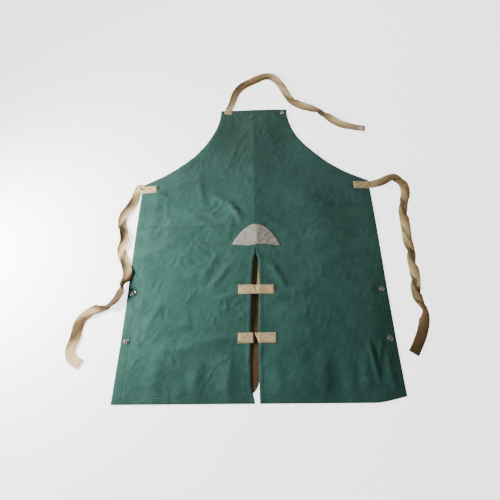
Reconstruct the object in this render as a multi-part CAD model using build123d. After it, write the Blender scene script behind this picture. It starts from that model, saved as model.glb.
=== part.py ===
from build123d import *
import math
import os

# A split-leg work apron lying flat, front upwards, at its real size in millimetres.
# The origin is under the middle of the panel, on the surface that it lies on. +Y points to
# the bib and +Z up. The cloth above the split is one body. Each leg below it is another, and
# it lifts about the line where the split starts.

# Panel
PANEL_LENGTH = 940.0
PANEL_WIDTH = 700.0
BIB_WIDTH = 228.0
WAIST_Y = 160.0
ARMHOLE_PULL = (110.0, 322.0)
ARMHOLE_EASE = (230.0, 215.0)
SPLIT_TOP_Y = -64.0
SPLIT_HALF_TOP = 1.5
SPLIT_HALF = 10.0
SPLIT_WIDE_Y = -150.0
SIDE_HEM = 22.0
BOTTOM_HEM = 15.0

# Thickness of cloth and tape, and the levels that they lie at
CANVAS = 0.8
HEM_LAYERS = 3
SUEDE = 1.6
TAPE = 1.2
TAPE_WIDTH = 25.0
SHEET_TOP = HEM_LAYERS * CANVAS
SHEET_BOTTOM = SHEET_TOP - CANVAS
TAPE_TOP = SHEET_TOP + TAPE
TAPE_MID = TAPE / 2

# Suede reinforcement over the top of the split
PATCH_HALF_WIDTH = 68.0
PATCH_BASE_Y = -58.0
PATCH_TOP_Y = 5.0

# Thread
THREAD = 0.6
THREAD_HEIGHT = 0.3
SEAM_INSET = 3.0
SEAM_FROM_FOLD = 4.0

# Sewn tape ends
STRAP_END_REACH = 48.0
STRAP_END_WALL = 1.2
STRAP_END_FOOT = 15.0
STRAP_GAP = 0.2
UPPER_STRAP_Y = -190.0
LOWER_STRAP_Y = -318.0
TIE_END_Y = 143.0
TIE_END_INNER = 304.0
TIE_END_OUTER = 341.0
NECK_END_X = -88.0
NECK_END_LENGTH = 18.0

# Press fasteners, 15 mm across the flange
STUD_FLANGE_R = 7.5
STUD_FLANGE = 0.8
STUD_KNOB_R = 3.1
STUD_KNOB = 3.2
STUD_SIDE = 16.0
POST_FLANGE_R = 5.5
POST_FLANGE = 0.6
POST_R = 1.5
POST_HOLE_R = 2.0
POST_BORE_R = 0.8
SOCKET_R = 6.25
SOCKET = 1.8
SOCKET_BORE_R = 3.3
CAP_R = 7.5
CAP = 0.8
BUMP_R = 12.0
BUMP = 2.0
UPPER_STUD_Y = -193.0
LOWER_STUD_Y = -322.0
NECK_STUD = (99.0, 454.0)

# Routes of the tapes' middle lines
NECK_STRAP_ROUTE = [
    (-88.0, 470.0, 3.0),
    (-88.0, 492.0, 3.0),
    (-80.0, 528.0, 2.6),
    (-57.0, 569.0, 4.0),
    (-14.0, 597.0, 8.0),
    (38.0, 618.0, 8.0),
    (77.0, 603.0, 4.0),
    (101.0, 566.0, 2.6),
    (127.0, 521.0, 3.5),
    (160.0, 487.0, 9.0),
    (205.0, 463.0, 12.0),
    (253.0, 430.0, 6.5),
    (290.0, 404.0, 2.8),
    (318.0, 388.0, 1.7),
    (345.0, 377.0, 1.7),
]
NECK_TIP_LENGTH = 28.0
LEFT_TIE_ROUTE = [
    (-352.0, 143.0, 3.0),
    (-374.0, 143.0, 3.0),
    (-394.0, 128.0, 2.6),
    (-398.0, 99.0, 3.0),
    (-386.0, 63.0, 6.0),
    (-393.0, 20.0, 12.0),
    (-389.0, -24.0, 9.0),
    (-378.0, -66.0, 3.5),
    (-371.0, -108.0, 2.6),
    (-372.0, -152.0, 3.0),
    (-384.0, -198.0, 5.0),
    (-416.0, -235.0, 10.0),
    (-448.0, -264.0, 9.0),
    (-462.0, -304.0, 4.0),
    (-464.0, -338.0, 2.6),
    (-455.0, -364.0, 2.6),
    (-437.0, -383.0, 2.6),
]
RIGHT_TIE_ROUTE = [
    (352.0, 143.0, 3.0),
    (370.0, 143.0, 3.0),
    (392.0, 154.0, 3.0),
    (419.0, 160.0, 4.0),
    (443.0, 145.0, 9.0),
    (451.0, 112.0, 12.0),
    (444.0, 68.0, 10.0),
    (432.0, 18.0, 8.0),
    (429.0, -36.0, 10.0),
    (434.0, -90.0, 11.0),
    (431.0, -144.0, 8.0),
    (425.0, -198.0, 6.0),
    (428.0, -248.0, 8.0),
    (427.0, -292.0, 5.0),
    (414.0, -328.0, 3.0),
    (394.0, -355.0, 3.0),
]
LEFT_UPPER_ROUTE = [
    (-12.7, -177.5),
    (-12.7, -150.0),
    (-13.2, -116.0),
    (-26.0, -92.0),
    (-52.0, -84.0),
    (-98.0, -88.0),
    (-152.0, -98.0),
    (-200.0, -94.0),
]
RIGHT_UPPER_ROUTE = [(-x, y + 2.0 * (i > 3)) for i, (x, y) in enumerate(LEFT_UPPER_ROUTE)]
LEFT_LOWER_ROUTE = [
    (-12.7, -330.5),
    (-12.7, -350.0),
    (-4.6, -382.0),
    (-6.0, -412.0),
    (-24.0, -434.0),
    (-54.0, -440.0),
    (-104.0, -434.0),
    (-152.0, -440.0),
    (-198.0, -436.0),
]
RIGHT_LOWER_ROUTE = [
    (12.7, -305.5),
    (12.7, -287.0),
    (5.4, -264.0),
    (13.0, -239.0),
    (38.0, -227.0),
    (72.0, -226.0),
    (116.0, -232.0),
    (160.0, -228.0),
    (204.0, -231.0),
]


def mirrored(points):
    """The same points on the other side of the middle line."""
    return [(-x, y) for x, y in points]


def slab(face, bottom, top):
    """The face, thickened between two levels."""
    return Pos(0, 0, bottom) * extrude(face, amount=top - bottom)


def block(x_low, x_high, y_low, y_high, z_low, z_high):
    """A straight block between six planes."""
    middle = ((x_low + x_high) / 2, (y_low + y_high) / 2, (z_low + z_high) / 2)
    return Pos(*middle) * Box(x_high - x_low, y_high - y_low, z_high - z_low)


def disc(x, y, radius, bottom, top):
    """A round piece standing on a level."""
    return Pos(x, y, (bottom + top) / 2) * Cylinder(radius, top - bottom)


def panel_face(inset, bottom_inset):
    """The apron's outline, drawn in from its sides and from its bottom edge."""
    half_length = PANEL_LENGTH / 2
    half_width = PANEL_WIDTH / 2 - inset
    bib_half = BIB_WIDTH / 2 - inset
    bottom = -half_length + bottom_inset
    waist = WAIST_Y - inset
    top = half_length - inset
    pull_x, pull_y = ARMHOLE_PULL
    ease_x, ease_y = ARMHOLE_EASE
    armhole = [
        (bib_half, top),
        (pull_x - inset, pull_y - inset),
        (ease_x - inset, ease_y - inset),
        (half_width, waist),
    ]
    edges = [
        Line((-half_width, bottom), (half_width, bottom)),
        Line((half_width, bottom), (half_width, waist)),
        Bezier(*armhole),
        Line((bib_half, top), (-bib_half, top)),
        Bezier(*mirrored(armhole)),
        Line((-half_width, waist), (-half_width, bottom)),
    ]
    return make_face(Wire(edges))


def split_face():
    """The gap between the legs, closing to a slit at its top."""
    bottom = -PANEL_LENGTH / 2 - 1
    corners = [
        (-SPLIT_HALF_TOP, SPLIT_TOP_Y),
        (-SPLIT_HALF, SPLIT_WIDE_Y),
        (-SPLIT_HALF, bottom),
        (SPLIT_HALF, bottom),
        (SPLIT_HALF, SPLIT_WIDE_Y),
        (SPLIT_HALF_TOP, SPLIT_TOP_Y),
    ]
    return make_face(Polyline(*corners, close=True))


def cloth():
    """The whole panel with its doubled hem, before it is divided at the split."""
    sheet = slab(panel_face(0, 0), SHEET_BOTTOM, SHEET_TOP)
    folded = slab(panel_face(0, 0), 0, SHEET_BOTTOM) - slab(panel_face(SIDE_HEM, BOTTOM_HEM), -1, SHEET_TOP)
    return sheet + folded


def stud_places(side):
    """Where the two press studs of one leg stand."""
    x = side * (PANEL_WIDTH / 2 - STUD_SIDE)
    return [(x, UPPER_STUD_Y), (x, LOWER_STUD_Y)]


def without_stud_seat(piece, x, y):
    """The cloth with a hole for a stud's post and a seat for its flange."""
    return piece - disc(x, y, POST_HOLE_R, -1, SHEET_TOP + 1) - disc(x, y, POST_FLANGE_R, -1, POST_FLANGE)


def bib_panel(whole):
    above = block(-PANEL_WIDTH, PANEL_WIDTH, SPLIT_TOP_Y, PANEL_LENGTH, -1, SHEET_TOP + 1)
    return without_stud_seat(whole & above, *NECK_STUD)


def leg_panel(whole, side, socket_places):
    """One leg, with the cloth raised where a strap's socket lies under it."""
    inner, outer = sorted((0, side * PANEL_WIDTH))
    half = block(inner, outer, -PANEL_LENGTH, SPLIT_TOP_Y, -1, SHEET_TOP + 1)
    leg = (whole & half) - slab(split_face(), -1, SHEET_TOP + 1)
    for x, y in socket_places:
        leg += disc(x, y, BUMP_R, SHEET_BOTTOM, SHEET_TOP + BUMP)
        leg -= disc(x, y, BUMP_R - CANVAS, 0, SHEET_BOTTOM + BUMP)
    for x, y in stud_places(side):
        leg = without_stud_seat(leg, x, y)
    return leg


def split_patch():
    """Half-moon of suede with a straight base."""
    base_left = (-PATCH_HALF_WIDTH, PATCH_BASE_Y)
    base_right = (PATCH_HALF_WIDTH, PATCH_BASE_Y)
    crown = ThreePointArc(base_left, (0, PATCH_TOP_Y), base_right)
    face = make_face(Wire([crown, Line(base_right, base_left)]))
    return slab(face, SHEET_TOP, SHEET_TOP + SUEDE)


def thread_line(start, end, level):
    """A row of stitches, as one ridge of thread on the surface."""
    (x1, y1), (x2, y2) = start, end
    length = math.hypot(x2 - x1, y2 - y1) + THREAD
    turn = math.degrees(math.atan2(y2 - y1, x2 - x1))
    place = Pos((x1 + x2) / 2, (y1 + y2) / 2, level + THREAD_HEIGHT / 2)
    return place * Rot(0, 0, turn) * Box(length, THREAD, THREAD_HEIGHT)


def crossed_box(x_low, x_high, y_low, y_high, level):
    """A sewn rectangle with both its diagonals."""
    corners = [(x_low, y_low), (x_high, y_low), (x_high, y_high), (x_low, y_high)]
    rows = [(corners[i], corners[(i + 1) % 4]) for i in range(4)]
    rows += [(corners[0], corners[2]), (corners[1], corners[3])]
    thread = thread_line(*rows[0], level)
    for row in rows[1:]:
        thread += thread_line(*row, level)
    return thread


def patch_stitching():
    """One row of thread inside the edge of the suede."""
    half = PATCH_HALF_WIDTH - 3 * SEAM_INSET
    base = PATCH_BASE_Y + SEAM_INSET
    top = PATCH_TOP_Y - SEAM_INSET
    band = []
    for edge in (0, THREAD):
        ends = ((-half - edge, base), (half + edge, base))
        crown = ThreePointArc(ends[0], (0, top + edge), ends[1])
        band.append(make_face(Wire([crown, Line(ends[1], ends[0])])))
    level = SHEET_TOP + SUEDE
    arc = slab(band[1] - band[0], level, level + THREAD_HEIGHT)
    return arc + thread_line((-half, base), (half, base), level)


def hem_stitching(region, covers):
    """The thread that holds the hem, a thin ridge round one body, stopped by what covers it."""
    outer = panel_face(SIDE_HEM - 2, BOTTOM_HEM - 2)
    inner = panel_face(SIDE_HEM - 2 + THREAD, BOTTOM_HEM - 2 + THREAD)
    ring = slab(outer, SHEET_TOP, SHEET_TOP + THREAD_HEIGHT)
    ring -= slab(inner, SHEET_TOP - 1, SHEET_TOP + 1)
    ring &= region
    for cover in covers:
        ring -= cover
    return ring


def leg_region(side):
    """The space over one leg, a little clear of the fold line."""
    inner, outer = sorted((side * (SPLIT_HALF + 1), side * PANEL_WIDTH))
    return block(inner, outer, -PANEL_LENGTH, SPLIT_TOP_Y - SEAM_FROM_FOLD, 0, SHEET_TOP + 1)


def strap_end(side, y):
    """A leg strap's sewn end, folded over the split's edge and under it."""
    y_low = y - TAPE_WIDTH / 2
    y_high = y + TAPE_WIDTH / 2
    wall = SPLIT_HALF - STRAP_END_WALL

    def span(inner, outer, z_low, z_high):
        x_low, x_high = sorted((side * inner, side * outer))
        return block(x_low, x_high, y_low, y_high, z_low, z_high)

    sewn = span(wall, STRAP_END_REACH, SHEET_TOP, TAPE_TOP)
    fold = span(wall, SPLIT_HALF, 0, TAPE_TOP)
    foot = span(STRAP_GAP, STRAP_END_FOOT, 0, TAPE)
    return sewn + fold + foot


def strap_end_stitching(side, y):
    reach = TAPE_WIDTH / 2 - SEAM_INSET
    x_low, x_high = sorted((side * (SPLIT_HALF + SEAM_INSET), side * (STRAP_END_REACH - SEAM_INSET)))
    return crossed_box(x_low, x_high, y - reach, y + reach, TAPE_TOP)


def tie_end(side):
    """A waist tie's sewn end, which runs off the panel's side at its own level."""
    reach = TAPE_WIDTH / 2
    x_low, x_high = sorted((side * TIE_END_INNER, side * (PANEL_WIDTH / 2 + 2)))
    return block(x_low, x_high, TIE_END_Y - reach, TIE_END_Y + reach, SHEET_TOP, TAPE_TOP)


def tie_end_stitching(side):
    reach = TAPE_WIDTH / 2 - SEAM_INSET
    x_low, x_high = sorted((side * (TIE_END_INNER + SEAM_INSET), side * TIE_END_OUTER))
    return crossed_box(x_low, x_high, TIE_END_Y - reach, TIE_END_Y + reach, TAPE_TOP)


def neck_end():
    """The neck strap's sewn end at the bib's corner."""
    reach = TAPE_WIDTH / 2
    top = PANEL_LENGTH / 2
    return block(NECK_END_X - reach, NECK_END_X + reach, top - NECK_END_LENGTH, top, SHEET_TOP, TAPE_TOP)


def neck_end_stitching():
    reach = TAPE_WIDTH / 2 - SEAM_INSET
    top = PANEL_LENGTH / 2 - SEAM_INSET
    bottom = PANEL_LENGTH / 2 - NECK_END_LENGTH + SEAM_INSET
    return crossed_box(NECK_END_X - reach, NECK_END_X + reach, bottom, top, TAPE_TOP)


def stud_flange(x, y):
    return disc(x, y, STUD_FLANGE_R, SHEET_TOP, SHEET_TOP + STUD_FLANGE)


def stud(x, y):
    """A press stud: a round flange with a hollow knob in its middle."""
    flange = stud_flange(x, y)
    flange = fillet(flange.edges().group_by(Axis.Z)[-1], STUD_FLANGE / 2)
    top = SHEET_TOP + STUD_FLANGE + STUD_KNOB
    knob = disc(x, y, STUD_KNOB_R, SHEET_TOP, top)
    knob = fillet(knob.edges().group_by(Axis.Z)[-1], STUD_KNOB_R / 4)
    return flange + knob - disc(x, y, POST_R + 0.05, 0, top + 1)


def stud_post(x, y):
    """The hollow rivet under a stud, whose shank comes up through the cloth."""
    top = SHEET_TOP + STUD_FLANGE + STUD_KNOB / 2
    post = disc(x, y, POST_FLANGE_R, 0, POST_FLANGE) + disc(x, y, POST_R, 0, top)
    return post - disc(x, y, POST_BORE_R, POST_FLANGE, top + 1)


def cap(x, y):
    """A leg strap's cap, face down, with its rivet standing up through the tape."""
    return disc(x, y, CAP_R, 0, CAP) + disc(x, y, POST_R, CAP, TAPE + SOCKET)


def socket(x, y, low):
    """A strap's socket ring, which presses over a stud's knob."""
    ring = disc(x, y, SOCKET_R, low, low + SOCKET)
    return ring - disc(x, y, SOCKET_BORE_R, low - 1, low + SOCKET + 1)


def corner_radii(name, points):
    """The arc at each corner of a route: as large as its two runs allow."""
    radii = []
    for before, here, after in zip(points, points[1:], points[2:]):
        into = Vector(*here) - Vector(*before)
        out = Vector(*after) - Vector(*here)
        half_turn = math.radians(into.get_angle(out)) / 2
        radii.append(0.45 * min(into.length, out.length) / math.tan(half_turn))
    print(name, "radii", [round(r) for r in radii])
    return radii


def tape(name, points):
    """A flat tape along a route, its face kept upwards."""
    path = FilletPolyline(*points, radius=corner_radii(name, points))
    along = path % 0
    across = Vector(0, 0, 1).cross(along).normalized()
    section = Plane(origin=path @ 0, x_dir=across, z_dir=along) * Rectangle(TAPE_WIDTH, TAPE)
    band = sweep(section, path=path)
    filled = band.volume / (TAPE_WIDTH * TAPE * path.length)
    lowest = band.bounding_box().min.Z
    print(name, "length", round(path.length), "filled", round(filled, 3), "lowest", round(lowest, 2))
    return band


def strap(name, route, snap_x, snap_y):
    """A leg strap, with the cap's seat pressed into its underside."""
    band = tape(name, [(x, y, TAPE_MID) for x, y in route])
    return band - disc(snap_x, snap_y, CAP_R, -1, CAP) - disc(snap_x, snap_y, POST_R, -1, TAPE + 1)


def save(name, piece):
    solids = piece.solids()
    kept = solids[0] if len(solids) == 1 else Compound(children=list(solids))
    kept.label = name
    export_step(kept, os.path.join("parts", name + ".step"))


def snap_place(route, inset=14.0):
    """The middle of the fastener near a route's free end."""
    (x1, y1), (x2, y2) = route[-2][:2], route[-1][:2]
    share = inset / math.hypot(x2 - x1, y2 - y1)
    return x2 + (x1 - x2) * share, y2 + (y1 - y2) * share


def save_leg(whole, side, name, upper_route, lower_route):
    routes = {"upper": upper_route, "lower": lower_route}
    snaps = {level: snap_place(route) for level, route in routes.items()}
    heights = {"upper": UPPER_STRAP_Y, "lower": LOWER_STRAP_Y}
    save(f"{name}_leg_panel", leg_panel(whole, side, list(snaps.values())))
    flanges = [stud_flange(x, y) for x, y in stud_places(side)]
    save(f"{name}_leg_hem_stitching", hem_stitching(leg_region(side), flanges))
    for level, route in routes.items():
        x, y = snaps[level]
        piece = f"{name}_{level}_strap"
        save(f"{piece}_end", strap_end(side, heights[level]))
        save(f"{piece}_stitching", strap_end_stitching(side, heights[level]))
        save(piece, strap(piece, route, x, y))
        save(f"{piece}_cap", cap(x, y))
        save(f"{piece}_socket", socket(x, y, TAPE))
    save(f"{name}_leg_studs", Compound(children=[stud(x, y) for x, y in stud_places(side)]))
    save(f"{name}_leg_stud_posts", Compound(children=[stud_post(x, y) for x, y in stud_places(side)]))


def neck_tip():
    """The neck strap's doubled free end, flat, with the socket's seat pressed into its underside."""
    x1, y1, _ = NECK_STRAP_ROUTE[-2]
    x2, y2, level = NECK_STRAP_ROUTE[-1]
    turn = math.degrees(math.atan2(y2 - y1, x2 - x1))
    lie = Pos(x2, y2, level) * Rot(0, 0, turn)
    tip = lie * Pos(NECK_TIP_LENGTH / 2, 0, 0) * Box(NECK_TIP_LENGTH, TAPE_WIDTH, TAPE)
    snap = (lie * Pos(NECK_TIP_LENGTH / 2, 0, 0)).position
    return tip, snap.X, snap.Y, level - TAPE_MID


def save_neck_strap():
    """The neck strap. Its cap lies on the tip's face, and its socket is pressed in under it."""
    tip, x, y, low = neck_tip()
    seat = low + CAP
    tip -= disc(x, y, SOCKET_R, -1, seat)
    tip -= disc(x, y, POST_R, -1, low + TAPE + 1)
    save("neck_strap", tape("neck_strap", NECK_STRAP_ROUTE))
    save("neck_strap_tip", tip)
    rivet = disc(x, y, POST_R, 0, low + TAPE)
    save("neck_strap_cap", disc(x, y, CAP_R, low + TAPE, low + TAPE + CAP) + rivet)
    save("neck_strap_socket", disc(x, y, SOCKET_R, 0, seat) - disc(x, y, SOCKET_BORE_R, -1, seat + 1))
    save("neck_strap_end", neck_end())
    save("neck_strap_stitching", neck_end_stitching())
    save("neck_stud", stud(*NECK_STUD))
    save("neck_stud_post", stud_post(*NECK_STUD))


def main():
    os.makedirs("parts", exist_ok=True)
    whole = cloth()
    above = block(-PANEL_WIDTH, PANEL_WIDTH, SPLIT_TOP_Y + SEAM_FROM_FOLD, PANEL_LENGTH, 0, SHEET_TOP + 1)
    save("bib_panel", bib_panel(whole))
    covers = [tie_end(-1), tie_end(1), stud_flange(*NECK_STUD)]
    save("bib_hem_stitching", hem_stitching(above, covers))
    save("split_patch", split_patch())
    save("split_patch_stitching", patch_stitching())
    save_neck_strap()
    for side, name, route in ((-1, "left", LEFT_TIE_ROUTE), (1, "right", RIGHT_TIE_ROUTE)):
        save(f"{name}_waist_tie", tape(f"{name}_waist_tie", route))
        save(f"{name}_waist_tie_end", tie_end(side))
        save(f"{name}_waist_tie_stitching", tie_end_stitching(side))
    save_leg(whole, -1, "left", LEFT_UPPER_ROUTE, LEFT_LOWER_ROUTE)
    save_leg(whole, 1, "right", RIGHT_UPPER_ROUTE, RIGHT_LOWER_ROUTE)


main()
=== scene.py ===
import math

import bpy
import numpy as np
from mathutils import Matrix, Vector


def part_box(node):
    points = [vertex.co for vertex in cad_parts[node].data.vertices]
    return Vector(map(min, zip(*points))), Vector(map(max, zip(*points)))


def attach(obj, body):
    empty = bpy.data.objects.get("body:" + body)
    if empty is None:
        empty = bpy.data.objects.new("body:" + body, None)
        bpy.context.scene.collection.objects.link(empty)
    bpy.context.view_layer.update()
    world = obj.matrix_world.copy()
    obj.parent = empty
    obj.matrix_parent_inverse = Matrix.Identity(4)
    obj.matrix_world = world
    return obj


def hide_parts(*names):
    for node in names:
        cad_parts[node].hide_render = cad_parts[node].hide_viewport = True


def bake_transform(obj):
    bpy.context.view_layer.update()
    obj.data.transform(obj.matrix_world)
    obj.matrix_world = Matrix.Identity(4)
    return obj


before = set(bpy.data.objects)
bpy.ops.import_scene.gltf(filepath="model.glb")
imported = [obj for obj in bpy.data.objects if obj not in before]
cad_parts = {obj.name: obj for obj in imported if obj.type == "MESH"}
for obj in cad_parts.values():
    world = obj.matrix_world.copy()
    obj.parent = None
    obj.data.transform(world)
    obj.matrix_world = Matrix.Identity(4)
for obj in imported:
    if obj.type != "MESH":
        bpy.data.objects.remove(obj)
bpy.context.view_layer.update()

# Sizes that the frame gives
SHEET_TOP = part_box("bib_panel")[1].z
HALF_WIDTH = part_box("bib_panel")[1].x
HALF_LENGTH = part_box("bib_panel")[1].y
FOLD_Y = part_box("bib_panel")[0].y
PATCH_LOW, PATCH_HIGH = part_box("split_patch")
TAPE_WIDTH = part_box("left_waist_tie_end")[1].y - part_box("left_waist_tie_end")[0].y

# Cloth and tape
HIGHEST = 0.0245
CANVAS = 0.0008
TAPE = 0.0012
BIB_HALF = 0.114
WAIST_Y = 0.160
ARMHOLE = [(BIB_HALF, HALF_LENGTH), (0.110, 0.322), (0.230, 0.215), (HALF_WIDTH, WAIST_Y)]
SPLIT_HALF = 0.010
SPLIT_PLACES = [0.064, 0.085, 0.091, 0.112, 0.150]
SPLIT_HALVES = [0.0001, 0.0002, 0.0045, 0.0078, SPLIT_HALF]
SIDE_HEM = 0.022
BOTTOM_HEM = 0.015
SPLIT_HEM = 0.008
CELL = 0.004
SEAM_IN = 0.002
STEEPEST = 1.7
CROSS_FOLD_Y = 0.006
PATCH_THICK = 0.0016
GAP_DROP = 0.0012
TAPE_CLEAR = 0.0003
WIDEST_MITRE = 1.34
LINE_STEP = 0.003
STITCH_R = 0.00034
BOX_STITCH_R = 0.00055

# View, floor and light
EYE_PLACE = (0.0098, -0.4909, 0.8936)
EYE_TURN = (25.22, 1.84, -0.36)
LENS = 25.0
FLOOR_HALF = 6.0
FLOOR_Z = -0.0002

# Routes of the tapes' middle lines
NECK_STRAP_ROUTE = [
    (-0.088, 0.47, 0.003), (-0.083, 0.486, 0.0026), (-0.075, 0.504, 0.003), (-0.069, 0.538, 0.004),
    (-0.053, 0.571, 0.006), (-0.022, 0.598, 0.007), (0.013, 0.618, 0.007), (0.044, 0.634, 0.006),
    (0.066, 0.633, 0.006), (0.085, 0.613, 0.006), (0.1, 0.587, 0.005), (0.113, 0.553, 0.004),
    (0.126, 0.52, 0.0035), (0.143, 0.497, 0.005), (0.167, 0.48, 0.007), (0.194, 0.465, 0.009),
    (0.221, 0.447, 0.01), (0.247, 0.433, 0.008), (0.266, 0.412, 0.005), (0.294, 0.39, 0.0025),
    (0.318, 0.382, 0.0018), (0.345, 0.377, 0.0017),
]
LEFT_TIE_ROUTE = [
    (-0.352, 0.143, 0.003), (-0.358, 0.158, 0.005), (-0.368, 0.136, 0.004), (-0.368, 0.103, 0.006),
    (-0.378, 0.078, 0.006), (-0.397, 0.049, 0.006), (-0.395, 0.018, 0.009), (-0.383, -0.012, 0.009),
    (-0.378, -0.036, 0.006), (-0.386, -0.06, 0.005), (-0.377, -0.086, 0.006), (-0.362, -0.114, 0.008),
    (-0.352, -0.144, 0.008), (-0.357, -0.172, 0.01), (-0.366, -0.194, 0.011), (-0.377, -0.213, 0.011),
    (-0.392, -0.226, 0.009), (-0.417, -0.235, 0.007), (-0.442, -0.246, 0.005), (-0.461, -0.262, 0.008),
    (-0.465, -0.292, 0.008), (-0.467, -0.318, 0.005), (-0.474, -0.336, 0.0035), (-0.473, -0.353, 0.003),
    (-0.462, -0.369, 0.0026), (-0.441, -0.378, 0.0026),
]
RIGHT_TIE_ROUTE = [
    (0.352, 0.143, 0.003), (0.378, 0.147, 0.003), (0.407, 0.161, 0.004), (0.427, 0.165, 0.008),
    (0.444, 0.153, 0.01), (0.454, 0.125, 0.01), (0.451, 0.097, 0.009), (0.437, 0.069, 0.01),
    (0.432, 0.041, 0.009), (0.431, 0.007, 0.009), (0.428, -0.025, 0.01), (0.426, -0.051, 0.011),
    (0.426, -0.082, 0.011), (0.426, -0.112, 0.01), (0.427, -0.139, 0.01), (0.426, -0.159, 0.009),
    (0.422, -0.182, 0.009), (0.419, -0.21, 0.01), (0.419, -0.231, 0.01), (0.424, -0.258, 0.008),
    (0.425, -0.28, 0.006), (0.417, -0.305, 0.005), (0.408, -0.323, 0.004), (0.396, -0.343, 0.003),
    (0.384, -0.36, 0.003),
]
LEG_STRAP_LEVEL = 0.0008
LEG_STRAP_ROUTES = {
    "left_upper": [
        (-0.0127, -0.1775), (-0.0112, -0.168), (-0.0098, -0.14), (-0.0068, -0.1), (-0.0066, -0.089),
        (-0.014, -0.089), (-0.044, -0.089), (-0.098, -0.09), (-0.152, -0.098), (-0.2, -0.094),
    ],
    "left_lower": [
        (-0.0062, -0.3065), (-0.0062, -0.325), (-0.0062, -0.38), (-0.0066, -0.41), (-0.011, -0.431),
        (-0.025, -0.442), (-0.054, -0.444), (-0.104, -0.436), (-0.152, -0.44), (-0.198, -0.436),
    ],
    "right_upper": [
        (0.0127, -0.1775), (0.0148, -0.168), (0.0158, -0.14), (0.0188, -0.1), (0.019, -0.089),
        (0.0262, -0.089), (0.048, -0.089), (0.098, -0.09), (0.152, -0.096), (0.2, -0.092),
    ],
    "right_lower": [
        (-0.0045, -0.306), (-0.0045, -0.29), (-0.0045, -0.25), (-0.0045, -0.213), (-0.0045, -0.206),
        (0.004, -0.206), (0.058, -0.213), (0.108, -0.228), (0.16, -0.228), (0.204, -0.231),
    ],
}

STRAP_EXITS = {
    "left_upper": (-0.0127, -0.1775, 0.0006), "right_upper": (0.0127, -0.1775, 0.0006),
    "left_lower": (-0.0127, -0.3305, 0.0006), "right_lower": (0.0127, -0.3055, 0.0006),
}

# How each free tape turns along its length, as (share of its length, degrees)
FLAT = [(0, 0), (1, 0)]
BACK_UP = [(0, 180), (1, 180)]
NECK_ROLL = [
    (0, 0), (0.05, 10), (0.12, -10), (0.17, -30), (0.22, -20), (0.3, -28), (0.36, -16), (0.41, -28),
    (0.46, -8), (0.5, -28), (0.53, -22), (0.56, -16), (0.59, 6), (0.62, -22), (0.7, -28), (0.75, -8),
    (0.79, 20), (0.82, -6), (0.87, -26), (0.93, -14), (1, 0),
]
LEFT_TIE_ROLL = [
    (0, 0), (0.04, -20), (0.08, 14), (0.13, 30), (0.17, 10), (0.22, -4), (0.255, 40), (0.3, 22), (0.345, 8),
    (0.38, -8), (0.42, 30), (0.47, 20), (0.52, 4), (0.545, 30), (0.575, 158), (0.62, 166), (0.66, 150),
    (0.7, 24), (0.73, 10), (0.76, -6), (0.8, 24), (0.84, 34), (0.88, 18), (0.92, 0), (1, 0),
]
RIGHT_TIE_ROLL = [
    (0, 0), (0.06, -4), (0.1, -18), (0.135, 14), (0.165, -24), (0.2, -6), (0.24, -26), (0.29, -8),
    (0.33, 24), (0.36, -16), (0.43, -22), (0.47, 4), (0.49, -20), (0.54, -4), (0.575, 30), (0.61, -8),
    (0.67, -18), (0.71, 20), (0.735, -16), (0.78, -4), (0.8, 24), (0.83, 152), (0.87, 168), (1, 176),
]

# Painted shade on the tape's two edges, where they turn from the light, along it, as (share, right of the way
# it runs, left of it)
NECK_SHADE = [
    (0, 0.25, 0.15), (0.04, 0.7, 0.35), (0.12, 0.75, 0.55), (0.18, 0.85, 0.6), (0.25, 0.45, 0.85),
    (0.36, 0.35, 0.9), (0.42, 0.2, 0.45), (0.49, 0.45, 0.3), (0.56, 0.35, 0.4), (0.6, 0.75, 0.55),
    (0.68, 0.25, 0.65), (0.78, 0.6, 0.7), (0.88, 0.15, 0.55), (1, 0.25, 0.4),
]
LEFT_TIE_SHADE = [
    (0, 0.15, 0.3), (0.08, 0.15, 0.85), (0.17, 0.2, 0.75), (0.24, 0.15, 0.8), (0.31, 0.45, 0.75),
    (0.38, 0.1, 0.45), (0.48, 0.25, 0.65), (0.54, 0.7, 0.75), (0.575, 1.9, 1.8), (0.62, 2, 1.9),
    (0.67, 1.8, 1.6), (0.7, 1, 0.6), (0.73, 0.65, 0.2), (0.79, 0.9, 0.5), (0.86, 0.8, 0.3),
    (0.91, 0.45, 0.25), (1, 0.15, 0.15),
]
RIGHT_TIE_SHADE = [
    (0, 0.2, 0.3), (0.07, 0.45, 0.7), (0.12, 0.6, 0.9), (0.16, 0.85, 0.6), (0.22, 0.85, 0.3),
    (0.31, 0.8, 0.1), (0.36, 0.9, 0.35), (0.42, 0.65, 0.05), (0.53, 0.8, 0.1), (0.6, 0.6, 0.1),
    (0.68, 0.55, 0.05), (0.72, 0.9, 0.4), (0.78, 0.8, 0.1), (0.84, 0.6, 0.3), (0.92, 0.75, 0.55),
    (1, 0.85, 0.85),
]
# Painted shadow on the leg straps where they lie in the gap between the legs
GAP_SHADE = [(0, 0.75, 0.95), (0.3, 0.95, 0.80), (1, 0.8, 0.8)]
CREAM_GAP_SHADE = [(0, 0, 0), (0.4, 0, 0), (1, 0.4, 0.4)]

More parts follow.
